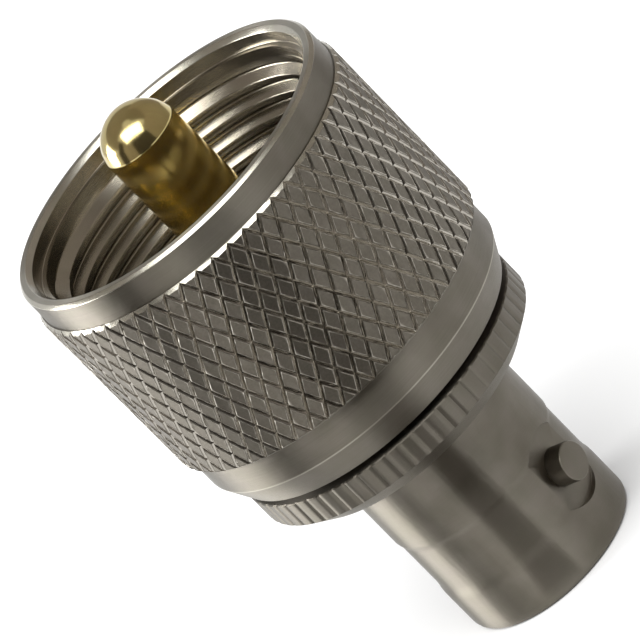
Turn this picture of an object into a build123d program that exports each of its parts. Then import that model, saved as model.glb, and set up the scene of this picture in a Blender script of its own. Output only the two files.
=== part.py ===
from build123d import *
import os
from math import cos, pi, radians, sin, tan

# Coaxial adapter: threaded UHF plug at the top, bayonet jack at the bottom.
# Z = 0 is the open end of the bayonet barrel, and +Z runs along the axis to the plug.
# All sizes are in millimetres.

# Bayonet barrel
barrel_radius = 4.8
barrel_length = 10.5
barrel_edge_bevels = ((0.5, 0.14), (0.17, 0.5))
mouth_wall = 0.75
mouth_depth = 8.4
relief_start = 2.74
relief_length = 3.15
relief_depth = 0.09

# Bayonet lugs, one on +X and one on -X, each in its own spot face
lug_radius = 0.99
lug_stand = 0.7
lug_height_on_barrel = 4.32
lug_edge_break = 0.12
spot_radius = 2.15
spot_wall = 0.3

# Serrated flange
flange_radius = 8.1
flange_thickness = 2.34
flange_chamfer_axial = 0.97
flange_chamfer_radial = 1.2
serration_count = 62
serration_depth = 0.2

# Coupling thread, 5/8 inch by 24 turns per inch, cut here as one level V groove for each turn
thread_major_radius = 7.94
thread_depth = 0.52
thread_pitch = 25.4 / 24
thread_flank_angle = 30
thread_relief_length = 2.0
thread_relief_room = 0.06

# Coupling nut outside the thread
nut_length = 14.56
nut_wall = 1.28
nut_gap = 0.35
nut_float = 0.8
nut_cone_length = 1.5
nut_cone_drop = 0.75
rear_band_length = 1.73
rear_band_drop = 0.37
front_band_length = 1.55
front_band_drop = 0.24
rim_edge_break = 0.12
rim_recess_room = 0.31
rim_recess_depth = 0.9

# Diamond knurl: flat-topped diamonds between two families of slanting grooves
knurl_count = 60
knurl_rows = 11
knurl_depth = 0.2
knurl_groove_run = 0.3
knurl_rear_bevel = 0.3
knurl_front_bevel = 0.25

# Front shell of the plug: collar with locating teeth, nose, and spigot in the hub.
# A share is a part of the radius that the piece is held in.
collar_share = 0.93
collar_thickness = 1.1
tooth_count = 2
tooth_width = 1.6
tooth_height = 0.9
tooth_depth = 0.95
nose_length = 3.7
nose_chamfer = 0.3
nose_lip_length = 0.8
nose_lip_step = 0.4
spigot_length = 3.6
bead_share = 0.849

# Hub that carries the nut, and the split retaining ring between them
hub_share = 0.856
spigot_share = 0.853
running_clearance = 0.08
stop_clearance = 0.05
ring_grip = 0.35
ring_width = 0.9
ring_thickness = 0.6
ring_split = 2.0
ring_room = 0.1
lip_rear_wall = 1.2
lip_front_wall = 0.5

# Insulators
bead_clearance = 0.02
bead_recess = 0.5
boss_radius = 2.38
boss_recess = 3.3
bnc_bead_step = 0.9
bnc_flange_step = 0.3
bnc_flange_length = 1.5

# Centre pin
pin_radius = 2.0
pin_shoulder = 0.4
pin_reach = 13.53
pin_dome_height = 1.65

# Socket contact of the bayonet end
contact_radius = 1.1
contact_bore_radius = 0.68
contact_bore_depth = 5.0
contact_recess = 0.1
contact_slot_count = 4
contact_slot_width = 0.15
contact_slot_length = 3.6
contact_collar_step = 0.4
contact_collar_length = 2.3
contact_tail_step = 0.5
contact_tail_length = 3.6
tail_room = 0.1

# Radii worked out from the sizes above, from the thread outwards and then inwards
thread_minor_radius = thread_major_radius - thread_depth
thread_relief_radius = thread_major_radius + thread_relief_room
rim_recess_radius = thread_major_radius + rim_recess_room
knurl_radius = thread_major_radius + nut_wall
knurl_root_radius = knurl_radius - knurl_depth
front_band_radius = knurl_radius - front_band_drop
rear_band_radius = knurl_radius - rear_band_drop
nut_rear_radius = rear_band_radius - nut_cone_drop
collar_radius = collar_share * thread_minor_radius
nose_radius = collar_radius - tooth_depth
hub_radius = hub_share * thread_minor_radius
lip_bore_radius = hub_radius + running_clearance
ring_inner_radius = hub_radius - ring_grip
ring_outer_radius = ring_inner_radius + ring_width
ring_slot_radius = ring_outer_radius + ring_room
groove_floor_radius = lip_bore_radius - ring_width - ring_room
spigot_radius = spigot_share * groove_floor_radius
uhf_bead_radius = bead_share * spigot_radius
uhf_bead_front_radius = uhf_bead_radius - nose_lip_step
mouth_radius = barrel_radius - mouth_wall
spot_floor = mouth_radius + spot_wall
bnc_bead_radius = mouth_radius - bnc_bead_step
bnc_flange_radius = bnc_bead_radius + bnc_flange_step
pin_shank_radius = pin_radius - pin_shoulder
contact_collar_radius = contact_radius + contact_collar_step
contact_tail_radius = contact_radius - contact_tail_step

# Heights along the axis, worked out from the sizes above
flange_front = barrel_length + flange_thickness
nut_rear = flange_front + nut_gap
nut_rim = nut_rear + nut_length
nut_cone_end = nut_rear + nut_cone_length
knurl_rear = nut_cone_end + rear_band_length
knurl_front = nut_rim - front_band_length
slot_rear = nut_rear + lip_rear_wall
slot_front = slot_rear + ring_thickness + 2 * stop_clearance
lip_front = slot_front + lip_front_wall
thread_start = lip_front + thread_relief_length
recess_floor = nut_rim - rim_recess_depth
thread_turns = int((recess_floor - thread_start) / thread_pitch)
groove_front = slot_front + nut_float
hub_front = lip_front + nut_float + 2 * stop_clearance
spigot_rear = hub_front - spigot_length
collar_front = hub_front + collar_thickness
nose_front = collar_front + nose_length
nose_lip_rear = nose_front - nose_lip_length
bead_front = nose_front - bead_recess
pin_tip = collar_front + pin_reach
pin_edge = pin_tip - pin_dome_height
bnc_flange_rear = spigot_rear - bnc_flange_length
contact_front = boss_recess + contact_recess
contact_collar_rear = spigot_rear - contact_collar_length

upright = (Align.CENTER, Align.CENTER, Align.MIN)
outward = (Align.MIN, Align.CENTER, Align.MIN)


def turned(*outline):
    """A solid turned about the axis from (radius, height) corners."""
    return revolve(Plane.XZ * make_face(Polyline(*outline, close=True)), Axis.Z)


def rod(radius, low, high):
    """A round bar on the axis between two heights."""
    return Pos(0, 0, low) * Cylinder(radius, high - low, align=upright)


def serrated_flange():
    """The flange: straight V teeth round its edge and a wide chamfer down to the barrel."""
    step = 2 * pi / serration_count
    root_radius = flange_radius - serration_depth
    corners = []
    for tooth in range(serration_count):
        tip_angle = tooth * step
        root_angle = tip_angle + step / 2
        corners.append((flange_radius * cos(tip_angle), flange_radius * sin(tip_angle)))
        corners.append((root_radius * cos(root_angle), root_radius * sin(root_angle)))
    toothed = extrude(make_face(Polyline(*corners, close=True)), flange_thickness)
    blank = turned(
        (0, 0),
        (flange_radius - flange_chamfer_radial, 0),
        (flange_radius, flange_chamfer_axial),
        (flange_radius, flange_thickness),
        (0, flange_thickness),
    )
    return Pos(0, 0, barrel_length) * (toothed & blank)


def barrel_blank():
    """The barrel with its shallow relief band and its open end broken by two bevels."""
    relief_radius = barrel_radius - relief_depth
    relief_end = relief_start + relief_length
    end_edge = [(barrel_radius - inward, upward) for inward, upward in barrel_edge_bevels]
    return turned(
        (0, 0),
        (end_edge[0][0], 0),
        (end_edge[1][0], end_edge[0][1]),
        (barrel_radius, end_edge[1][1]),
        (barrel_radius, relief_start),
        (relief_radius, relief_start),
        (relief_radius, relief_end),
        (barrel_radius, relief_end),
        (barrel_radius, barrel_length),
        (0, barrel_length),
    )


def bayonet_lugs():
    """The two spot faces to cut, and the two round lugs that stand in them."""
    spots = Part()
    lugs = Part()
    lug_length = barrel_radius + lug_stand - mouth_radius
    for turn in (0, 180):
        outwards = Rot(0, 0, turn) * Pos(0, 0, lug_height_on_barrel) * Rot(0, 90, 0)
        lug = Cylinder(lug_radius, lug_length, align=upright)
        lug = chamfer(lug.faces().sort_by(Axis.Z)[-1].edges(), lug_edge_break)
        spots += outwards * Pos(0, 0, spot_floor) * Cylinder(spot_radius, barrel_radius, align=upright)
        lugs += outwards * Pos(0, 0, mouth_radius) * lug
    return spots, lugs


def make_bnc_body():
    """Barrel, flange and hub in one piece, bored for the mouth, the beads and the spigot."""
    spots, lugs = bayonet_lugs()
    groove = rod(hub_radius, slot_rear, groove_front) - rod(groove_floor_radius, slot_rear, groove_front)
    body = barrel_blank() - spots + lugs + serrated_flange()
    body += rod(hub_radius, barrel_length, hub_front) - groove
    body -= rod(mouth_radius, 0, mouth_depth)
    body -= rod(bnc_bead_radius + bead_clearance, mouth_depth, bnc_flange_rear)
    body -= rod(bnc_flange_radius + bead_clearance, bnc_flange_rear, spigot_rear)
    body -= rod(spigot_radius, spigot_rear, hub_front)
    return body


def make_uhf_shell():
    """Front shell: spigot pressed into the hub, collar with locating teeth, and nose."""
    shell = turned(
        (0, spigot_rear),
        (spigot_radius, spigot_rear),
        (spigot_radius, hub_front),
        (collar_radius, hub_front),
        (collar_radius, collar_front),
        (nose_radius, collar_front),
        (nose_radius, nose_front - nose_chamfer),
        (nose_radius - nose_chamfer, nose_front),
        (0, nose_front),
    )
    tooth_ring = rod(collar_radius, collar_front, collar_front + tooth_height)
    for tooth in range(tooth_count):
        turn = Rot(0, 0, 90 + tooth * 360 / tooth_count)
        bar = Box(collar_radius, tooth_width, tooth_height, align=outward)
        shell += (turn * Pos(0, 0, collar_front) * bar) & tooth_ring
    shell -= rod(uhf_bead_radius + bead_clearance, spigot_rear, nose_lip_rear)
    shell -= rod(uhf_bead_front_radius + bead_clearance, nose_lip_rear, nose_front)
    return shell


def make_uhf_insulator():
    """Stepped bead held behind the lip of the nose."""
    return turned(
        (pin_shank_radius, spigot_rear),
        (uhf_bead_radius, spigot_rear),
        (uhf_bead_radius, nose_lip_rear),
        (uhf_bead_front_radius, nose_lip_rear),
        (uhf_bead_front_radius, bead_front),
        (pin_shank_radius, bead_front),
    )


def make_bnc_insulator():
    """Bead with a flange at the rear and the thin boss that stands in the mouth."""
    bore_radius = contact_radius + bead_clearance
    collar_bore_radius = contact_collar_radius + bead_clearance
    return turned(
        (bore_radius, boss_recess),
        (boss_radius, boss_recess),
        (boss_radius, mouth_depth),
        (bnc_bead_radius, mouth_depth),
        (bnc_bead_radius, bnc_flange_rear),
        (bnc_flange_radius, bnc_flange_rear),
        (bnc_flange_radius, spigot_rear),
        (collar_bore_radius, spigot_rear),
        (collar_bore_radius, contact_collar_rear),
        (bore_radius, contact_collar_rear),
    )


def make_center_pin():
    """Thick pin with a domed tip, a shoulder on the bead and a rear hole for the socket's tail."""
    flank = Polyline(
        (0, pin_tip),
        (0, spigot_rear),
        (pin_shank_radius, spigot_rear),
        (pin_shank_radius, bead_front),
        (pin_radius, bead_front),
        (pin_radius, pin_edge),
    )
    dome_radius = (pin_radius**2 + pin_dome_height**2) / (2 * pin_dome_height)
    dome = RadiusArc((pin_radius, pin_edge), (0, pin_tip), -dome_radius)
    pin = revolve(Plane.XZ * make_face([flank, dome]), Axis.Z)
    return pin - rod(contact_tail_radius, spigot_rear, spigot_rear + contact_tail_length + tail_room)


def make_bnc_socket():
    """Small slotted socket contact with a collar and a tail pressed into the centre pin."""
    contact = turned(
        (0, contact_front),
        (contact_radius, contact_front),
        (contact_radius, contact_collar_rear),
        (contact_collar_radius, contact_collar_rear),
        (contact_collar_radius, spigot_rear),
        (contact_tail_radius, spigot_rear),
        (contact_tail_radius, spigot_rear + contact_tail_length),
        (0, spigot_rear + contact_tail_length),
    )
    contact -= rod(contact_bore_radius, contact_front, contact_front + contact_bore_depth)
    cutter = Box(2 * contact_radius, contact_slot_width, contact_slot_length, align=outward)
    for slot in range(contact_slot_count):
        turn = Rot(0, 0, 45 + slot * 360 / contact_slot_count)
        contact -= turn * Pos(0, 0, contact_front) * cutter
    return contact


def make_retaining_ring():
    """Split ring that sits in the nut's slot and floats in the hub's groove."""
    rear = slot_rear + stop_clearance
    front = rear + ring_thickness
    ring = rod(ring_outer_radius, rear, front) - rod(ring_inner_radius, rear, front)
    return ring - Pos(0, 0, rear) * Box(2 * ring_outer_radius, ring_split, ring_thickness, align=outward)


def diamond(row_pitch, foot, halves, bevel):
    """Corners of each flat face of one diamond on the +X side, with its centre at height 0.

    The crest is flat and stands on four flanks, which are flat because the crest's width
    follows from its length. halves holds 1 for the upper half and -1 for the lower one.
    A diamond of one half has a bevel of the given height where it is cut.
    """
    crest_reach = row_pitch - knurl_groove_run
    sag = knurl_root_radius - foot.X
    spread = foot.Y * crest_reach * knurl_depth / (row_pitch * knurl_depth + knurl_groove_run * sag)
    cut_spread = spread * (1 - bevel / crest_reach)
    faces = []
    crest = []
    for half in halves:
        tip = (knurl_radius, 0, half * crest_reach)
        left = (knurl_radius, -cut_spread, half * bevel)
        right = (knurl_radius, cut_spread, half * bevel)
        root_tip = (knurl_root_radius, 0, half * row_pitch)
        faces.append([root_tip, (foot.X, foot.Y, 0), right, tip])
        faces.append([root_tip, (foot.X, -foot.Y, 0), left, tip])
        crest += [right, tip] if half > 0 else [left, tip]
    if len(halves) == 1:
        faces.append([(foot.X, foot.Y, 0), (foot.X, -foot.Y, 0), left, right])
        crest = [left, right, tip]
    return faces + [crest]


def knurl_drum():
    """The knurled band as one solid drum, with a row of half diamonds at each end.

    Rows are one row pitch apart, and every other row is turned by half a step.
    """
    step = 360 / knurl_count
    row_pitch = (knurl_front - knurl_rear) / knurl_rows
    foot = Vector(knurl_root_radius, 0, 0).rotate(Axis.Z, step / 2)
    faces = []

    def place(corners, turn, height):
        points = [Vector(*corner).rotate(Axis.Z, turn) + Vector(0, 0, height) for corner in corners]
        faces.append(Face(Wire.make_polygon(points, close=True)))

    for row in range(knurl_rows + 1):
        halves, bevel = (1, -1), 0
        if row == 0:
            halves, bevel = (1,), knurl_rear_bevel
        if row == knurl_rows:
            halves, bevel = (-1,), knurl_front_bevel
        height = knurl_rear + row * row_pitch
        turns = [(around + row % 2 / 2) * step for around in range(knurl_count)]
        for turn in turns:
            for corners in diamond(row_pitch, foot, halves, bevel):
                place(corners, turn, height)
        if len(halves) == 1:
            place([tuple(foot.rotate(Axis.Z, turn)) for turn in turns], 0, height)
    return Solid(Shell(faces))


def nut_outside():
    """Outer form of the coupling nut: rear cone, rear band, knurled drum and front band."""
    rear = turned(
        (0, nut_rear),
        (nut_rear_radius, nut_rear),
        (rear_band_radius, nut_cone_end),
        (rear_band_radius, knurl_rear),
        (0, knurl_rear),
    )
    front = turned(
        (0, knurl_front),
        (front_band_radius, knurl_front),
        (front_band_radius, nut_rim - rim_edge_break),
        (front_band_radius - rim_edge_break, nut_rim),
        (0, nut_rim),
    )
    return rear + knurl_drum() + front


def nut_bore():
    """The nut's bore as one solid: lip, ring slot, thread relief, thread and rim recess."""
    groove_half_width = thread_depth * tan(radians(thread_flank_angle))
    outline = [
        (0, nut_rear),
        (lip_bore_radius, nut_rear),
        (lip_bore_radius, slot_rear),
        (ring_slot_radius, slot_rear),
        (ring_slot_radius, slot_front),
        (lip_bore_radius, slot_front),
        (lip_bore_radius, lip_front),
        (thread_relief_radius, lip_front),
        (thread_relief_radius, thread_start),
        (thread_minor_radius, thread_start),
    ]
    for turn in range(thread_turns):
        root_height = thread_start + (turn + 1 / 2) * thread_pitch
        outline += [
            (thread_minor_radius, root_height - groove_half_width),
            (thread_major_radius, root_height),
            (thread_minor_radius, root_height + groove_half_width),
        ]
    outline += [
        (thread_minor_radius, recess_floor),
        (rim_recess_radius, recess_floor),
        (rim_recess_radius, nut_rim),
        (0, nut_rim),
    ]
    return turned(*outline)


def make_coupling_nut():
    """Coupling nut: the banded and knurled outside with the stepped, threaded bore."""
    return nut_outside() - nut_bore()


makers = {
    "bnc_body": make_bnc_body,
    "uhf_shell": make_uhf_shell,
    "uhf_insulator": make_uhf_insulator,
    "bnc_insulator": make_bnc_insulator,
    "center_pin": make_center_pin,
    "bnc_socket": make_bnc_socket,
    "retaining_ring": make_retaining_ring,
    "coupling_nut": make_coupling_nut,
}

os.makedirs("parts", exist_ok=True)
for node, make in makers.items():
    export_step(make(), f"parts/{node}.step")
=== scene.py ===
import random
from math import asin, cos, hypot, pi, radians, sin

import bmesh
import bpy
from mathutils import Matrix, Vector


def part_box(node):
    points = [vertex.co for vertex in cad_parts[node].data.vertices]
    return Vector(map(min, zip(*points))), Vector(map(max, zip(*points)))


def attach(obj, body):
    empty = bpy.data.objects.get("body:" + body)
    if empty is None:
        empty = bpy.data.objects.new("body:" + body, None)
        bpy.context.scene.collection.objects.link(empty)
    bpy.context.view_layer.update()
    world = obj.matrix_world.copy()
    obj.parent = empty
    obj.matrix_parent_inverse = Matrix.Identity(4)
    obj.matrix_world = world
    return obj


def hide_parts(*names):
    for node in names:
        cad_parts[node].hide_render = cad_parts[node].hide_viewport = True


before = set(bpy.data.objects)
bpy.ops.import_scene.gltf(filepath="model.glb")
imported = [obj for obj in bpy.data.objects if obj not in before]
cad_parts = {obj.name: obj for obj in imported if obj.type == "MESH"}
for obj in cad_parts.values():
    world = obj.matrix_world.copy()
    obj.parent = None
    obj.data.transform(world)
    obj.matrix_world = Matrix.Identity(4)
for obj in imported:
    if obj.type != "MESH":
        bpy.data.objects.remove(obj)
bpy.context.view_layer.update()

# The adapter stands on its bayonet end at z = 0, and its axis is Z. The sizes of its parts are in
# millimetres, and their meshes are scaled to metres as they are made.
MM = 0.001


def reach(node):
    """Outer radius, lowest height and highest height of a node, in millimetres."""
    low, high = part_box(node)
    return high.x / MM, low.z / MM, high.z / MM


knurl_radius, nut_rear, nut_rim = reach("coupling_nut")
flange_radius, _, hub_front = reach("bnc_body")
collar_radius, spigot_rear, nose_front = reach("uhf_shell")
pin_radius, _, pin_tip = reach("center_pin")
uhf_bead_radius, _, bead_front = reach("uhf_insulator")
bnc_flange_radius, boss_face, _ = reach("bnc_insulator")
contact_collar_radius, contact_front, tail_front = reach("bnc_socket")

# Coupling nut
knurl_depth = 0.16
front_band_radius = knurl_radius - 0.24
rear_band_radius = knurl_radius - 0.37
nut_rear_radius = rear_band_radius - 0.75
cone_end = nut_rear + 1.5
cone_edge = 0.045
knurl_rear = cone_end + 1.73
knurl_front = nut_rim - 1.55
knurl_around = 60
knurl_rows = 11
knurl_rear_bevel = 0.15
knurl_front_bevel = 0.2
knurl_slack = 0.03
# Each diamond's flat crest, as a share of the diamond's width and a drop below the knurl's radius,
# then the rings of its flank
crest_scale = 0.68
crest_drop = 0.03
flank_rings = ((0.71, 0.014), (0.75, 0.026), (0.95, 0.125), (1.0, knurl_depth))
# How far chance may lean a crest and move the points of its edge: out, round in radians, and along
crest_lean = 0.009
edge_burr = 0.008
edge_turn = 0.0007
edge_shift = 0.008
thread_major = 7.94
thread_minor = 7.42
thread_pitch = 25.4 / 24
thread_start = nut_rear + 4.4
thread_ease = 0.03
thread_ease_depth = 0.04
recess_floor = nut_rim - 0.9
recess_radius = 8.25
rim_outer_chamfer = 0.17
rim_inner_chamfer = 0.24
rim_slack = 0.005
relief_radius = 8.0
mouth_relief_radius = 7.97
mouth_relief_length = 0.62
mouth_relief_slope = 1.5
lip_bore = 6.43
slot_radius = 7.0
slot_rear = nut_rear + 1.2
slot_front = slot_rear + 0.7
lip_front = slot_front + 0.5

# Clearance between a piece and the bore that it sits in
fit = 0.02

# Bayonet barrel, flange and hub
barrel_radius = 4.8
flange_rear = 10.5
flange_front = 12.84
flange_cone_length = 0.97
flange_cone_drop = 1.2
flange_edge = 0.05
flange_edge_depth = 0.06
flange_rim = 0.4
relief_low = 2.74
relief_high = 5.89
relief_run = 0.25
relief_end_before = 0.15
relief_end_after = 0.1
barrel_relief = 0.09
serrations = 62
serration_depth = 0.055
groove_share = 0.36
mouth_radius = 4.05
mouth_depth = 8.4
mouth_wall = mouth_depth - 1
lug_height = 4.32
lug_radius = 0.99
lug_tip = 5.5
lug_foot = mouth_radius + 0.15
spot_radius = 2.15
spot_floor = 4.48
spot_reach = 8
hub_radius = 6.35
groove_floor = 5.43
groove_front = 15.89
spigot_radius = 4.63

# Shell, beads, pin and socket
collar_front = hub_front + 1.1
nose_radius = 5.95
nose_lip_rear = nose_front - 0.8
bead_front_radius = 3.53
tooth_width = 1.6
tooth_height = 0.9
tooth_rounding = 0.1
tooth_root = 0.2
tooth_sink = 0.1
shank_radius = 1.6
pin_edge = pin_tip - 1.65
pin_edge_ease = 0.06
dome_steps = 25
boss_radius = 2.38
bnc_bead_radius = 3.15
bnc_flange_rear = 11.39
contact_radius = 1.1
contact_bore = 0.68
contact_collar_rear = 10.59
contact_tail = 0.6
contact_bore_depth = 5
contact_slot_length = 3.6
contact_slot_width = 0.15
contact_slot_reach = 4
contact_slot_overrun = 1

# Camera, as the photo was taken: direction and roll in degrees, distances in millimetres
camera_around = -44.5
camera_elevation = 21.94
camera_roll = 45.4
camera_distance = 407.07
camera_shift_along = 15.49
camera_lens = 485.7

toward = Vector((cos(radians(camera_around)), sin(radians(camera_around)), 0))
aside = toward.cross(Vector((0, 0, 1)))


def place_camera():
    """The photo's viewpoint: the adapter's axis runs from upper left to lower right."""
    tilt = radians(camera_elevation)
    along = toward * sin(tilt) - Vector((0, 0, 1)) * cos(tilt)
    ahead = -toward * cos(tilt) - Vector((0, 0, 1)) * sin(tilt)
    roll = radians(camera_roll)
    right = along * cos(roll) - aside * sin(roll)
    down = along * sin(roll) + aside * cos(roll)
    camera = bpy.data.objects.new("camera", bpy.data.cameras.new("camera"))
    camera.data.lens = camera_lens
    camera.data.clip_start = 0.01
    place = (-along * camera_shift_along - ahead * camera_distance) * MM
    turn = Matrix((right, -down, -ahead)).transposed().to_4x4()
    camera.matrix_world = Matrix.Translation(place) @ turn
    bpy.context.scene.collection.objects.link(camera)
    bpy.context.scene.camera = camera


place_camera()


# Mesh tools

def add_piece(name, mesh):
    """A new object that shows a mesh."""
    piece = bpy.data.objects.new(name, mesh)
    bpy.context.scene.collection.objects.link(piece)
    return piece


def smooth(piece, crease=38):
    """Smooth shading that stays flat across large faces and sharp at creases."""
    mesh = piece.data
    mesh.polygons.foreach_set("use_smooth", [True] * len(mesh.polygons))
    mesh.set_sharp_from_angle(angle=radians(crease))
    weighted = piece.modifiers.new("normals", "WEIGHTED_NORMAL")
    weighted.keep_sharp = True


def eased(corners, cut=0.05, steps=3):
    """A closed outline with its corners rounded.

    A corner is (radius, height), and may have a cut of its own as a third value. The cut is how
    far from the corner the rounding starts.
    """
    points = []
    count = len(corners)
    for index, corner in enumerate(corners):
        here = Vector(corner[:2])
        size = corner[2] if len(corner) > 2 else cut
        if size == 0:
            points.append(tuple(here))
            continue
        ends = []
        for other in (corners[index - 1], corners[(index + 1) % count]):
            arm = Vector(other[:2]) - here
            ends.append(here + arm.normalized() * min(size, arm.length / 2.2))
        for step in range(steps + 1):
            share = step / steps
            bow = ends[0].lerp(here, share).lerp(here.lerp(ends[1], share), share)
            points.append(tuple(bow))
    return points


def point_at(radius, turn, height):
    """A point in metres, from a radius and a height in millimetres."""
    return radius * cos(turn) * MM, radius * sin(turn) * MM, height * MM


def shell_points(rings, turn):
    """One column of points of a turned surface.

    Each ring is (radius, height), or a function that gives them at an angle of turn.
    """
    column = []
    for ring in rings:
        radius, height = ring(turn) if callable(ring) else ring
        column.append(point_at(radius, turn, height))
    return column


def turned_mesh(name, rings, around, closed=True):
    """A surface turned about the axis, through rings that follow its outline.

    With closed, the last ring joins the first.
    """
    columns = [shell_points(rings, 2 * pi * step / around) for step in range(around + 1)]
    span = len(rings)
    points = [point for column in columns for point in column]
    faces = []
    for column in range(around):
        for ring in range(span if closed else span - 1):
            after = (ring + 1) % span
            here, beside = column * span, (column + 1) * span
            faces.append((here + ring, beside + ring, beside + after, here + after))
    mesh = bpy.data.meshes.new(name)
    mesh.from_pydata(points, [], faces)
    tidy(mesh)
    return mesh


def tidy(mesh):
    """Welds equal points, drops faces that collapsed, and points the normals outwards."""
    build = bmesh.new()
    build.from_mesh(mesh)
    bmesh.ops.remove_doubles(build, verts=build.verts, dist=0.0005 * MM)
    bmesh.ops.dissolve_degenerate(build, edges=build.edges, dist=0.0002 * MM)
    bmesh.ops.recalc_face_normals(build, faces=build.faces)
    build.to_mesh(mesh)
    build.free()


def combine(piece, tool, operation):
    """Adds or cuts one closed mesh, and leaves the result as the piece's own mesh."""
    step = piece.modifiers.new("combine", "BOOLEAN")
    step.operation = operation
    step.solver = "EXACT"
    step.object = tool
    graph = bpy.context.evaluated_depsgraph_get()
    result = bpy.data.meshes.new_from_object(piece.evaluated_get(graph))
    piece.modifiers.clear()
    piece.data = result
    bpy.data.objects.remove(tool)


def block_tool(name, block):
    """An object made from a bmesh, for combine to use."""
    mesh = bpy.data.meshes.new(name)
    block.to_mesh(mesh)
    block.free()
    return add_piece(name, mesh)


def peg(name, outline, around, place):
    """A turned solid moved into place, for combine to use: place is a matrix in millimetres."""
    mesh = turned_mesh(name, outline, around)
    tool = add_piece(name, mesh)
    move = place.copy()
    move.translation = place.translation * MM
    mesh.transform(move)
    return tool


# Coupling nut

def thread_rings():
    """Rings of the internal thread, from its rear end to its front, cut off level at both ends."""
    crest = thread_pitch / 4
    root = thread_pitch / 8
    flank = (thread_pitch - crest - root) / 2
    root_start = crest + flank
    root_end = root_start + root
    profile = [
        (0, thread_minor),
        (crest - thread_ease, thread_minor),
        (crest + thread_ease, thread_minor + thread_ease_depth),
        (root_start - thread_ease, thread_major - thread_ease_depth),
        (root_start + thread_ease, thread_major),
        (root_end - thread_ease, thread_major),
        (root_end + thread_ease, thread_major - thread_ease_depth),
        (thread_pitch - thread_ease, thread_minor + thread_ease_depth),
    ]
    turns = int((recess_floor - thread_start) / thread_pitch) + 3

    def thread_at(height, turn):
        phase = (height - thread_start - thread_pitch * turn / (2 * pi)) % thread_pitch
        for (low, near), (high, far) in zip(profile, profile[1:] + [(thread_pitch, thread_minor)]):
            if phase <= high:
                return near + (far - near) * (phase - low) / (high - low)
        return thread_minor

    def mouth_at(height):
        below = recess_floor - mouth_relief_length - height
        return mouth_relief_radius - mouth_relief_slope * max(below, 0)

    def ring(turn_index, offset):
        def at(turn):
            height = thread_start + thread_pitch * (turn_index + turn / (2 * pi)) + offset
            height = min(max(height, thread_start), recess_floor)
            return max(thread_at(height, turn), mouth_at(height)), height
        return at

    return [ring(index - 2, offset) for index in range(turns + 1) for offset, _ in profile]


def knurl_mesh(seed):
    """Flat-topped diamonds between two families of slanting grooves, with a bevel at each end.

    Each diamond has a flat crest that leans a little by chance, a burred edge, and flanks
    that run down to the groove. The diamonds of the first and last rows are cut in half.
    """
    chance = random.Random(seed)
    half_step = pi / knurl_around
    row_pitch = (knurl_front - knurl_rear) / knurl_rows
    half_middle = row_pitch * 0.4
    cuts = 4
    points, faces = [], []

    def outline(scale, base, whole):
        side = half_step * (scale - base / row_pitch)
        tip = scale * row_pitch
        if whole:
            return [(half_step * scale, 0), (0, tip), (-half_step * scale, 0), (0, -tip)]
        return [(side, base), (0, tip), (-side, base)]

    def divided(corners):
        places = []
        for (a0, z0), (a1, z1) in zip(corners, corners[1:] + corners[:1]):
            for step in range(cuts):
                places.append((a0 + (a1 - a0) * step / cuts, z0 + (z1 - z0) * step / cuts))
        return places

    def add_diamond(centre, height, flip, whole, bevel):
        lean_round = chance.uniform(-crest_lean, crest_lean)
        lean_along = chance.uniform(-crest_lean, crest_lean)
        rows = []
        for scale, drop in ((0, crest_drop), (crest_scale, crest_drop), *flank_rings):
            base = bevel * (1 - drop / knurl_depth)
            if scale == 0:
                ring = [(0, 0 if whole else half_middle)]
            else:
                ring = divided(outline(scale, base, whole))
            row = []
            for angle, rise in ring:
                radius = (knurl_radius - drop) / (cos(angle) if scale <= crest_scale else 1)
                if drop < knurl_depth:
                    radius -= lean_round * angle / half_step + lean_along * rise / row_pitch
                if scale > crest_scale and drop < knurl_depth:
                    radius += chance.uniform(-edge_burr, edge_burr)
                    angle += chance.uniform(-edge_turn, edge_turn)
                    rise += chance.uniform(-edge_shift, edge_shift)
                radius = min(radius, knurl_radius)
                row.append(len(points))
                points.append(point_at(radius, centre + angle, height + flip * rise))
            rows.append(row)
        first = rows[1]
        for index in range(len(first)):
            faces.append((rows[0][0], first[index], first[(index + 1) % len(first)]))
        for inner, outer in zip(rows[1:], rows[2:]):
            for index in range(len(inner)):
                after = (index + 1) % len(inner)
                faces.append((inner[index], outer[index], outer[after], inner[after]))

    for row in range(knurl_rows + 1):
        first, last = row == 0, row == knurl_rows
        flip = -1 if last else 1
        bevel = knurl_rear_bevel if first else knurl_front_bevel if last else 0
        for around in range(knurl_around):
            centre = (around + row % 2 / 2) * 2 * half_step
            height = knurl_rear + row * row_pitch
            add_diamond(centre, height, flip, not (first or last), bevel)
    mesh = bpy.data.meshes.new("knurl")
    mesh.from_pydata(points, [], faces)
    return mesh


# The nut's materials, in the order of their slots. The edge and face ones are painted light.
PLAIN, KNURL, BORE, EDGE_PAINTED_LIGHT, FACE_PAINTED_LIGHT = range(5)


def nut_surface(face):
    """Which of the nut's materials a face has, by its place and slope."""
    centre, normal = face.center / MM, face.normal
    radius = hypot(centre.x, centre.y)
    outwards = (normal.x * centre.x + normal.y * centre.y) / radius
    outside = radius > knurl_radius - knurl_depth - knurl_slack
    on_knurl = outside and knurl_rear < centre.z < knurl_front
    on_rim = centre.z > nut_rim - rim_slack
    on_inner_chamfer = centre.z > nut_rim - rim_inner_chamfer and abs(normal.z) > 0.2
    in_bore = radius < recess_radius and centre.z > lip_front or outwards < -0.3
    on_cone_edge = abs(centre.z - cone_end) < cone_edge
    # The knurl's up-facing bevel, the inner chamfer, the rim and the cone's edge get painted light.
    if on_knurl:
        return EDGE_PAINTED_LIGHT if normal.z > 0.5 else PLAIN if normal.z < -0.5 else KNURL
    if on_rim:
        return FACE_PAINTED_LIGHT
    if on_inner_chamfer:
        return EDGE_PAINTED_LIGHT
    if in_bore:
        return BORE
    return FACE_PAINTED_LIGHT if on_cone_edge else PLAIN


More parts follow.
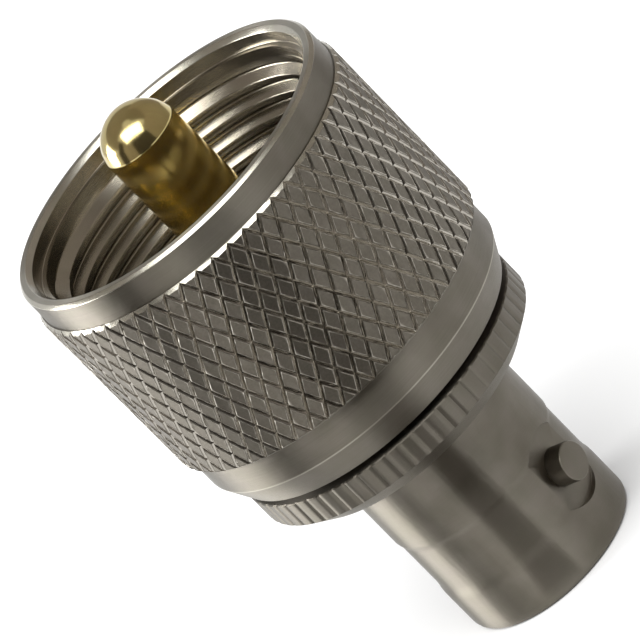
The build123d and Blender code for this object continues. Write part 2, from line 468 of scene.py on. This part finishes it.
def make_nut():
    """The whole coupling nut as one closed mesh: bands, knurl, stepped bore and helical thread."""
    root = knurl_radius - knurl_depth
    front = eased([
        (root, knurl_front, 0),
        (front_band_radius, knurl_front, 0.02),
        (front_band_radius, nut_rim - rim_outer_chamfer, 0.03),
        (front_band_radius - rim_outer_chamfer, nut_rim, 0.03),
        (recess_radius + rim_inner_chamfer, nut_rim, 0.03),
        (recess_radius, nut_rim - rim_inner_chamfer, 0.03),
        (recess_radius, recess_floor, 0.05),
        (mouth_relief_radius, recess_floor, 0),
    ])
    rear = eased([
        (thread_major, thread_start, 0),
        (relief_radius, thread_start, 0),
        (relief_radius, lip_front, 0.1),
        (lip_bore, lip_front, 0.05),
        (lip_bore, slot_front, 0.03),
        (slot_radius, slot_front, 0.03),
        (slot_radius, slot_rear, 0.03),
        (lip_bore, slot_rear, 0.03),
        (lip_bore, nut_rear, 0.12),
        (nut_rear_radius, nut_rear, 0.1),
        (rear_band_radius, cone_end, cone_edge),
        (rear_band_radius, knurl_rear, 0.03),
        (root, knurl_rear, 0),
    ])
    rings = front + thread_rings()[::-1] + rear[1:]
    mesh = turned_mesh("nut", rings, knurl_around * 4, closed=False)
    whole = bmesh.new()
    whole.from_mesh(mesh)
    whole.from_mesh(knurl_mesh(seed=7))
    whole.to_mesh(mesh)
    whole.free()
    tidy(mesh)
    piece = add_piece("nut", mesh)
    smooth(piece)
    for face in mesh.polygons:
        face.use_smooth = nut_surface(face) != KNURL
    return piece


# Body with its bayonet barrel

def serrated(turn):
    """Radius of the flange's edge: broad flats with narrow V grooves between them."""
    tooth = (turn * serrations / (2 * pi)) % 1
    depth = max(groove_share - abs(2 * tooth - 1), 0) / groove_share
    return flange_radius - serration_depth * depth


def make_body():
    """Barrel with its relief band, serrated flange, hub and bores, with spot faces and lugs."""
    chamfer_start = flange_radius - flange_cone_drop
    slope = flange_cone_length / flange_cone_drop

    def chamfer_top(turn):
        radius = serrated(turn)
        return radius, flange_rear + slope * (radius - chamfer_start)

    def front_edge(turn):
        return serrated(turn), flange_front - flange_edge

    def front_face(turn):
        return serrated(turn) - flange_edge_depth, flange_front

    relief = barrel_radius - barrel_relief
    barrel = eased([
        (mouth_radius, 0, 0.12),
        (barrel_radius, 0, 0.5),
        (barrel_radius, relief_low - relief_run, 0.2),
        (relief, relief_low + relief_run, 0.2),
        (relief, relief_high - relief_end_before, 0.12),
        (barrel_radius, relief_high + relief_end_after, 0.1),
        (barrel_radius, flange_rear, 0.12),
        (chamfer_start, flange_rear, 0.04),
        (flange_radius, flange_rear + flange_cone_length, 0),
    ], steps=5)[:-1]
    hub = eased([
        (flange_radius - flange_rim, flange_front, 0),
        (hub_radius, flange_front, 0.1),
        (hub_radius, slot_rear),
        (groove_floor, slot_rear),
        (groove_floor, groove_front),
        (hub_radius, groove_front),
        (hub_radius, hub_front),
        (spigot_radius, hub_front),
        (spigot_radius, spigot_rear, 0.02),
        (bnc_flange_radius + fit, spigot_rear, 0.02),
        (bnc_flange_radius + fit, bnc_flange_rear, 0.02),
        (bnc_bead_radius + fit, bnc_flange_rear, 0.02),
        (bnc_bead_radius + fit, mouth_depth, 0.02),
        (mouth_radius, mouth_depth, 0.1),
        (mouth_radius, mouth_wall, 0),
    ])
    rings = barrel + [chamfer_top, front_edge, front_face] + hub
    piece = add_piece("body", turned_mesh("body", rings, serrations * 8))
    for side in (0, pi):
        outwards = Matrix.Rotation(side, 4, "Z") @ Matrix.Rotation(pi / 2, 4, "Y")
        lift = Matrix.Translation((0, 0, lug_height))
        spot = eased([
            (0, spot_floor, 0),
            (spot_radius, spot_floor, 0.06),
            (spot_radius, spot_reach, 0),
            (0, spot_reach, 0),
        ])
        combine(piece, peg("spot", spot, 96, lift @ outwards), "DIFFERENCE")
        lug = eased([
            (0, lug_foot, 0),
            (lug_radius, lug_foot, 0),
            (lug_radius, lug_tip, 0.12),
            (0, lug_tip, 0),
        ])
        combine(piece, peg("lug", lug, 64, lift @ outwards), "UNION")
    smooth(piece, crease=32)
    return piece


# Shell, beads, pin and socket

def make_shell():
    """Front shell: spigot, collar with two locating teeth, and nose with its lip."""
    outline = eased([
        (spigot_radius, spigot_rear),
        (spigot_radius, hub_front, 0.02),
        (collar_radius, hub_front, 0.06),
        (collar_radius, collar_front, 0.12),
        (nose_radius, collar_front, 0.06),
        (nose_radius, nose_front, 0.3),
        (bead_front_radius + fit, nose_front, 0.12),
        (bead_front_radius + fit, nose_lip_rear, 0.02),
        (uhf_bead_radius + fit, nose_lip_rear, 0.02),
        (uhf_bead_radius + fit, spigot_rear, 0.02),
    ])
    piece = add_piece("shell", turned_mesh("shell", outline, 192))
    half = asin(tooth_width / 2 / collar_radius)
    for side in (pi / 2, -pi / 2):
        block = bmesh.new()
        for turn in (side - half, side + half):
            for radius in (nose_radius - tooth_sink, collar_radius - fit):
                for height in (collar_front - tooth_root, collar_front + tooth_height):
                    block.verts.new(point_at(radius, turn, height))
        bmesh.ops.convex_hull(block, input=block.verts)
        bmesh.ops.dissolve_limit(
            block, angle_limit=radians(2), verts=block.verts, edges=block.edges)
        upper = [e for e in block.edges if all(v.co.z > collar_front * MM for v in e.verts)]
        bmesh.ops.bevel(
            block, geom=upper, offset=tooth_rounding * MM, segments=3, profile=0.5, affect="EDGES")
        combine(piece, block_tool("tooth", block), "UNION")
    smooth(piece)
    return piece


def make_bead(name, corners):
    """A plain turned piece from its corners."""
    piece = add_piece(name, turned_mesh(name, eased(corners), 128))
    smooth(piece)
    return piece


def make_pin():
    """Centre pin: straight, with a domed tip that meets the side at a soft edge."""
    rise = pin_tip - pin_edge
    ball = (pin_radius ** 2 + rise ** 2) / (2 * rise)
    start = asin(pin_radius / ball)
    dome = []
    for step in range(1, dome_steps):
        angle = start * (1 - step / dome_steps)
        dome.append((ball * sin(angle), pin_tip - ball + ball * cos(angle)))
    # The edge's rounding takes the place of the dome's first points.
    outline = eased([
        (0, spigot_rear, 0),
        (shank_radius, spigot_rear, 0.03),
        (shank_radius, bead_front, 0.03),
        (pin_radius, bead_front, 0.08),
        (pin_radius, pin_edge, pin_edge_ease),
        (*dome[3], 0),
    ])[:-1] + dome[4:] + [(0, pin_tip)]
    piece = add_piece("pin", turned_mesh("pin", outline, 128))
    smooth(piece)
    return piece


def make_socket():
    """Small socket contact with four spring fingers."""
    outline = eased([
        (contact_bore, contact_front, 0.12),
        (contact_radius, contact_front, 0.12),
        (contact_radius, contact_collar_rear, 0.02),
        (contact_collar_radius, contact_collar_rear),
        (contact_collar_radius, spigot_rear),
        (contact_tail, spigot_rear, 0.02),
        (contact_tail, tail_front, 0.1),
        (0, tail_front, 0),
        (0, contact_front + contact_bore_depth, 0),
        (contact_bore, contact_front + contact_bore_depth, 0.02),
    ])
    piece = add_piece("socket", turned_mesh("socket", outline, 96))
    for turn in (45, -45):
        low, high = contact_front - contact_slot_overrun, contact_front + contact_slot_length
        sides = (contact_slot_reach * MM, contact_slot_width * MM, (high - low) * MM, 1)
        size = Matrix.Diagonal(sides)
        lift = Matrix.Translation((0, 0, (low + high) / 2 * MM))
        place = Matrix.Rotation(radians(turn), 4, "Z") @ lift @ size
        block = bmesh.new()
        bmesh.ops.create_cube(block, size=1)
        bmesh.ops.transform(block, matrix=place, verts=block.verts)
        combine(piece, block_tool("slot", block), "DIFFERENCE")
    smooth(piece)
    return piece


nut = make_nut()
body = make_body()
shell = make_shell()
pin = make_pin()
socket = make_socket()
uhf_bead = make_bead("plug_bead", [
    (shank_radius, spigot_rear, 0.02),
    (uhf_bead_radius, spigot_rear, 0.02),
    (uhf_bead_radius, nose_lip_rear, 0.02),
    (bead_front_radius, nose_lip_rear, 0.02),
    (bead_front_radius, bead_front, 0.06),
    (shank_radius, bead_front, 0.04),
])
bnc_bead = make_bead("jack_bead", [
    (contact_radius + fit, boss_face, 0.08),
    (boss_radius, boss_face, 0.12),
    (boss_radius, mouth_depth, 0.1),
    (bnc_bead_radius, mouth_depth, 0.04),
    (bnc_bead_radius, bnc_flange_rear, 0.02),
    (bnc_flange_radius, bnc_flange_rear, 0.02),
    (bnc_flange_radius, spigot_rear, 0.02),
    (contact_collar_radius + fit, spigot_rear, 0.02),
    (contact_collar_radius + fit, contact_collar_rear, 0.02),
    (contact_radius + fit, contact_collar_rear, 0.02),
])


# Materials

class Nodes:
    """A material's node tree, with short calls for the nodes used here."""

    def __init__(self, name):
        self.material = bpy.data.materials.new(name)
        self.material.use_nodes = True
        self.tree = self.material.node_tree
        self.shader = self.tree.nodes["Principled BSDF"]

    def add(self, kind, **settings):
        node = self.tree.nodes.new("ShaderNode" + kind)
        for name, value in settings.items():
            setattr(node, name, value)
        return node

    def link(self, source, target):
        self.tree.links.new(source, target)

    def math(self, operation, first, second=None):
        node = self.add("Math", operation=operation)
        for socket, value in zip(node.inputs, (first, second)):
            if isinstance(value, (int, float)):
                socket.default_value = value
            elif value is not None:
                self.link(value, socket)
        return node.outputs[0]

    def span(self, value, low, high, to_low, to_high):
        node = self.add("MapRange")
        self.link(value, node.inputs["Value"])
        ends = {"From Min": low, "From Max": high, "To Min": to_low, "To Max": to_high}
        for name, number in ends.items():
            node.inputs[name].default_value = number
        return node.outputs["Result"]

    def noise(self, vector, scale, detail=2.0, roughness=0.5, extra=None):
        node = self.add("TexNoise", noise_dimensions="3D" if extra is None else "4D")
        self.link(vector, node.inputs["Vector"])
        if extra is not None:
            self.link(extra, node.inputs["W"])
        node.inputs["Scale"].default_value = scale
        node.inputs["Detail"].default_value = detail
        node.inputs["Roughness"].default_value = roughness
        return node.outputs["Fac"]

    def mix(self, factor, first, second):
        node = self.add("Mix", data_type="RGBA")
        self.link(factor, node.inputs["Factor"])
        for name, value in (("A", first), ("B", second)):
            socket = [s for s in node.inputs if s.name == name and s.type == "RGBA"][0]
            if isinstance(value, tuple):
                socket.default_value = (*value, 1)
            else:
                self.link(value, socket)
        return [s for s in node.outputs if s.type == "RGBA"][0]

    def bump(self, height, strength, distance, before=None):
        node = self.add("Bump")
        node.inputs["Strength"].default_value = strength
        node.inputs["Distance"].default_value = distance
        self.link(height, node.inputs["Height"])
        if before is not None:
            self.link(before, node.inputs["Normal"])
        return node.outputs["Normal"]


def shade(colour, share):
    """A colour made darker or lighter by one share."""
    return tuple(channel * share for channel in colour)


def turned_metal(name, colour, worn, roughness, anisotropy, marks=1.0, streaks=0.0,
                 crest=None, groove=None):
    """Plated metal with fine turning marks round the axis.

    marks is the strength of the turning marks, and streaks is that of marks along the axis.
    Below the radius called crest, in mm, the metal has the groove's colour and isn't brushed.
    That colour is painted light: lighter, for the bright floor that the flanks reflect. Just above
    the crest the highest burrs are painted brighter still, as painted glints.
    """
    n = Nodes(name)
    place = n.add("TexCoord").outputs["Object"]
    scaled = n.add("VectorMath", operation="SCALE")
    n.link(place, scaled.inputs[0])
    scaled.inputs["Scale"].default_value = 1 / MM
    mm = scaled.outputs["Vector"]
    parts = n.add("SeparateXYZ")
    n.link(mm, parts.inputs[0])
    x, y, z = parts.outputs
    radius = n.math("SQRT", n.math("ADD", n.math("MULTIPLY", x, x), n.math("MULTIPLY", y, y)))
    safe = n.math("MAXIMUM", radius, 0.05)
    east, north = n.math("DIVIDE", x, safe), n.math("DIVIDE", y, safe)

    def around(east_scale, along_scale):
        joined = n.add("CombineXYZ")
        n.link(n.math("MULTIPLY", east, east_scale), joined.inputs[0])
        n.link(n.math("MULTIPLY", north, east_scale), joined.inputs[1])
        n.link(n.math("MULTIPLY", z, along_scale), joined.inputs[2])
        return joined.outputs[0]

    lines = n.noise(around(1.4, 14), 2.2, 5, 0.7, n.math("MULTIPLY", radius, 26))
    cloud = n.noise(mm, 0.55, 3)
    patch = n.noise(mm, 1.3, 1)
    grain = n.noise(mm, 9, 2)

    tone = n.mix(n.span(cloud, 0.35, 0.65, 0, 1), colour, worn)
    greenish = (colour[0] * 0.86, colour[1] * 0.93, colour[2] * 0.84)
    tone = n.mix(n.span(patch, 0.35, 0.65, 0, 0.25), tone, greenish)
    tone = n.mix(n.span(lines, 0.25, 0.7, 0.16 * marks, 0), tone, shade(colour, 0.4))
    shine = n.math("ADD", n.span(cloud, 0.3, 0.7, roughness - 0.03, roughness + 0.03),
                   n.span(grain, 0.3, 0.7, -0.015, 0.015))
    if crest:
        # Painted light: the grooves take a much lighter colour, and the highest burrs a painted
        # glint.
        depth = n.span(radius, crest - 0.05, crest, 1, 0)
        painted_glint = n.span(radius, crest + 0.006, crest + 0.016, 0, 1)
        tone = n.mix(n.span(grain, 0.3, 0.7, 0, 0.45), tone, shade(colour, 0.5))
        tone = n.mix(n.math("MULTIPLY", depth, 0.9), tone, groove)
        tone = n.mix(painted_glint, tone, shade(groove, 1.4))
        shine = n.math("SUBTRACT", shine, n.math("MULTIPLY", depth, 0.26))
        brushed = n.math("MULTIPLY", n.math("SUBTRACT", 1, depth), anisotropy)
        n.link(brushed, n.shader.inputs["Anisotropic"])
    else:
        n.shader.inputs["Anisotropic"].default_value = anisotropy
    n.link(tone, n.shader.inputs["Base Color"])
    n.link(shine, n.shader.inputs["Roughness"])
    n.shader.inputs["Metallic"].default_value = 1
    n.shader.inputs["Anisotropic Rotation"].default_value = 0.25
    tangent = n.add("Tangent", direction_type="RADIAL", axis="Z")
    n.link(tangent.outputs[0], n.shader.inputs["Tangent"])
    relief = n.bump(lines, 0.3 * marks, 0.012 * MM)
    if streaks:
        lengthwise = n.noise(around(14, 0.35), 1.0, 4, 0.6)
        relief = n.bump(lengthwise, streaks, 0.03 * MM, relief)
    n.link(n.bump(grain, 0.1, 0.01 * MM, relief), n.shader.inputs["Normal"])
    return n.material


def white_plastic(name):
    """White fluoropolymer: waxy, with faint turning marks."""
    n = Nodes(name)
    place = n.add("TexCoord").outputs["Object"]
    cloud = n.noise(place, 900, 3)
    fine = n.noise(place, 9000, 2)
    n.link(n.mix(cloud, (0.86, 0.85, 0.8), (0.78, 0.77, 0.71)), n.shader.inputs["Base Color"])
    n.link(n.span(fine, 0.3, 0.7, 0.42, 0.52), n.shader.inputs["Roughness"])
    n.shader.inputs["Subsurface Weight"].default_value = 0.15
    n.shader.inputs["Subsurface Scale"].default_value = 0.4 * MM
    n.link(n.bump(fine, 0.15, 0.01 * MM), n.shader.inputs["Normal"])
    return n.material


nickel = (0.2, 0.181, 0.153)
nickel_worn = (0.186, 0.17, 0.139)
# The knurl's groove colour is painted light, much lighter than its crests.
nickel_knurl = turned_metal(
    "nickel_knurl", (0.155, 0.139, 0.116), (0.142, 0.128, 0.105), 0.42, 0.7, marks=0.6,
    crest=knurl_radius - crest_drop, groove=(0.42, 0.395, 0.35))
nickel_turned = turned_metal("nickel_turned", nickel, nickel_worn, 0.39, 1.0, marks=2.2)
nickel_barrel = turned_metal("nickel_barrel", nickel, nickel_worn, 0.4, 1.0, marks=0.8, streaks=0.3)
nickel_flange = turned_metal(
    "nickel_flange", (0.165, 0.15, 0.127), (0.155, 0.14, 0.116), 0.42, 0.9, marks=1.2)
nickel_lug = turned_metal(
    "nickel_lug", (0.12, 0.105, 0.083), (0.09, 0.077, 0.06), 0.5, 0.0, marks=1.5)
nickel_bore = turned_metal(
    "nickel_bore", (0.37, 0.335, 0.275), (0.32, 0.287, 0.23), 0.2, 0.5, marks=1.2)
# A much lighter copy of the nickel: a painted highlight on the bevels and chamfers.
nickel_edge_painted_light = turned_metal(
    "nickel_edge_painted_light", (0.5, 0.47, 0.41), (0.42, 0.4, 0.34), 0.24, 0.4, marks=0.5)
# A lighter copy of the nickel: painted light on the rim's face and the line at the cone's edge.
nickel_face_painted_light = turned_metal(
    "nickel_face_painted_light", (0.34, 0.315, 0.27), (0.3, 0.28, 0.235), 0.42, 0.9, marks=0.8)
gilt = turned_metal("gilt", (0.6, 0.49, 0.23), (0.48, 0.385, 0.17), 0.15, 0.1, marks=0.3)
# A lighter copy of the gilt for the pin's side: painted light that offsets the dark bore it
# reflects.
gilt_side_painted_light = turned_metal(
    "gilt_side_painted_light", (0.97, 0.78, 0.33), (0.86, 0.67, 0.26), 0.08, 0.2, marks=0.5)
bronze = turned_metal("bronze", (0.55, 0.38, 0.2), (0.5, 0.33, 0.16), 0.35, 0.3)
plastic = white_plastic("fluoropolymer")


def finish_piece(piece, material, node, carrier):
    """Gives a piece its material and lets it stand for its node."""
    piece.data.materials.clear()
    piece.data.materials.append(material)
    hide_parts(node)
    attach(piece, carrier)


def split_nut_materials():
    """The knurl, the bore, the edges and the rim's face have their own materials."""
    # The edges and the rim's face get lighter copies of the nickel: painted highlights.
    for material in (nickel_knurl, nickel_bore, nickel_edge_painted_light, nickel_face_painted_light):
        nut.data.materials.append(material)
    for face in nut.data.polygons:
        face.material_index = nut_surface(face)


def split_body_materials():
    """The flange with the hub, and the sides of the lugs, have their own materials."""
    flange_slot, lug_slot = 1, 2
    for material in (nickel_flange, nickel_lug):
        body.data.materials.append(material)
    for face in body.data.polygons:
        centre = face.center / MM
        on_lug = hypot(centre.y, centre.z - lug_height) < lug_radius + fit
        outside = hypot(centre.x, centre.y) > spot_floor
        if centre.z > flange_rear:
            face.material_index = flange_slot
        elif on_lug and outside and abs(face.normal.x) < 0.3:
            face.material_index = lug_slot


def split_pin_materials():
    """The pin's straight side has its own material, and the dome with its edge keeps the first."""
    # The side's lighter gilt is painted light.
    pin.data.materials.append(gilt_side_painted_light)
    for face in pin.data.polygons:
        face.material_index = int(face.center.z / MM < pin_edge - pin_edge_ease - fit)


finish_piece(nut, nickel_turned, "coupling_nut", "nut")
split_nut_materials()
finish_piece(body, nickel_barrel, "bnc_body", "adapter_body")
split_body_materials()
finish_piece(shell, nickel_turned, "uhf_shell", "adapter_body")
finish_piece(pin, gilt, "center_pin", "adapter_body")
split_pin_materials()
finish_piece(socket, gilt, "bnc_socket", "adapter_body")
finish_piece(uhf_bead, plastic, "uhf_insulator", "adapter_body")
finish_piece(bnc_bead, plastic, "bnc_insulator", "adapter_body")
# The retaining ring is shown by its own solid.
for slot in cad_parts["retaining_ring"].material_slots:
    slot.material = bronze


# Floor and studio light, in metres

# The lamps aim at this height, and the cards stand round the adapter at these distances.
lamp_aim_height = 0.015
card_distance = 0.7
dark_card_distance = 0.6
card_steps = 12
card_lift = 0.0002
floor_reach = 1.5


def direction(azimuth, elevation):
    """Unit vector at an angle round from the camera, towards the lower left of the picture."""
    turn, tilt = radians(azimuth), radians(elevation)
    return (toward * cos(turn) + aside * sin(turn)) * cos(tilt) + Vector((0, 0, sin(tilt)))


def softbox(name, azimuth, elevation, distance, width, height, radiance):
    """A rectangular lamp that faces the middle of the adapter."""
    lamp = bpy.data.lights.new(name, "AREA")
    lamp.shape = "RECTANGLE"
    lamp.size, lamp.size_y = width, height
    lamp.energy = radiance * pi * width * height
    holder = bpy.data.objects.new(name, lamp)
    aim = direction(azimuth, elevation)
    holder.location = aim * distance + Vector((0, 0, lamp_aim_height))
    holder.rotation_euler = aim.to_track_quat("Z", "Y").to_euler()
    bpy.context.scene.collection.objects.link(holder)


def plain(name, grey, warmth=0.0):
    """A matt grey for the floor and the cards, made warmer by taking out a share of its blue."""
    n = Nodes(name)
    fine = n.noise(n.add("TexCoord").outputs["Object"], 60, 3)
    tint = (grey, grey * (1 - warmth / 2), grey * (1 - warmth))
    n.link(n.mix(fine, tint, shade(tint, 0.97)), n.shader.inputs["Base Color"])
    n.shader.inputs["Roughness"].default_value = 0.9
    n.shader.inputs["Specular IOR Level"].default_value = 0.0
    return n.material


def card(name, start, end, low, high, grey, floor_from=0, distance=card_distance):
    """A curved card that only reflections see, as a studio uses to shape bright metal.

    It stands between two angles round from the camera and between two elevations. With floor_from
    it also lies on the floor, from that distance out.
    """
    def stations(azimuth):
        standing = [direction(azimuth, elevation) * distance for elevation in (low, high)]
        return [direction(azimuth, 0) * floor_from] + standing if floor_from else standing

    curved_sheet(name, start, end, stations, grey)


def floor_card(name, start, end, near, far, grey):
    """A card like the others that lies on the floor between two distances."""
    def stations(azimuth):
        return [direction(azimuth, 0) * distance for distance in (near, far)]

    curved_sheet(name, start, end, stations, grey)


def curved_sheet(name, start, end, stations, grey):
    """A sheet through the stations that a function gives for each angle round from the camera."""
    points, faces = [], []
    for step in range(card_steps + 1):
        row = stations(start + (end - start) * step / card_steps)
        points += [station + Vector((0, 0, card_lift)) for station in row]
    span = len(row)
    for step in range(card_steps):
        for index in range(span - 1):
            first = step * span + index
            faces.append((first, first + 1, first + span + 1, first + span))
    mesh = bpy.data.meshes.new(name)
    mesh.from_pydata(points, [], faces)
    mesh.materials.append(plain(name, grey, warmth=0.2))
    piece = add_piece(name, mesh)
    piece.visible_camera = False
    piece.visible_diffuse = False
    piece.visible_shadow = False


def make_floor():
    """A round pale floor under the adapter."""
    mesh = bpy.data.meshes.new("floor")
    build = bmesh.new()
    bmesh.ops.create_circle(build, cap_ends=True, segments=96, radius=floor_reach)
    build.to_mesh(mesh)
    build.free()
    mesh.materials.append(plain("floor", 0.86))
    add_piece("floor", mesh)


def make_world():
    """Even white light from all round, as in a studio."""
    world = bpy.data.worlds.new("studio")
    bpy.context.scene.world = world
    world.use_nodes = True
    background = world.node_tree.nodes["Background"]
    background.inputs["Color"].default_value = (1, 1, 1, 1)
    background.inputs["Strength"].default_value = 0.8


make_floor()
make_world()
# Standing cards: angles from and to, elevations from and to, grey
card("grey_card", -156, 86, 0, 50, 0.3)
card("rear_card", 86, 204, 30, 80, 0.25)
card("side_card", -156, -70, 50, 80, 0.25)
card("dark_card", -30, 32, 0, 46, 0.05, distance=dark_card_distance)
card("dark_card_side", 64, 82, 0, 46, 0.05, floor_from=0.031, distance=dark_card_distance)
# Cards on the floor: angles from and to, distances from and to, grey
# The near card is a painted shadow: it darkens the floor's reflection by the adapter's foot.
floor_card("painted_shadow_near", -8, 24, 0.0055, 0.018, 0.14)
floor_card("dark_floor_middle", -8, 26, 0.022, 0.033, 0.3)
floor_card("dark_floor_far", -8, 28, 0.033, 0.7, 0.03)
floor_card("grey_floor_right", -52, -8, 0.0505, 0.074, 0.35)
floor_card("grey_floor_left", 28, 62, 0.0505, 0.074, 0.35)
floor_card("grey_floor_rear", -152, -114, 0.044, 0.085, 0.3)
floor_card("grey_floor_side", 146, 172, 0.072, 0.09, 0.3)
# Lamps: azimuth, elevation, distance, width, height, radiance
softbox("key", 113, 13, 0.5, 0.27, 0.22, 12.5)
softbox("overhead", 12, 63, 0.5, 0.52, 0.27, 5.5)

bpy.context.scene.view_settings.view_transform = "Standard"
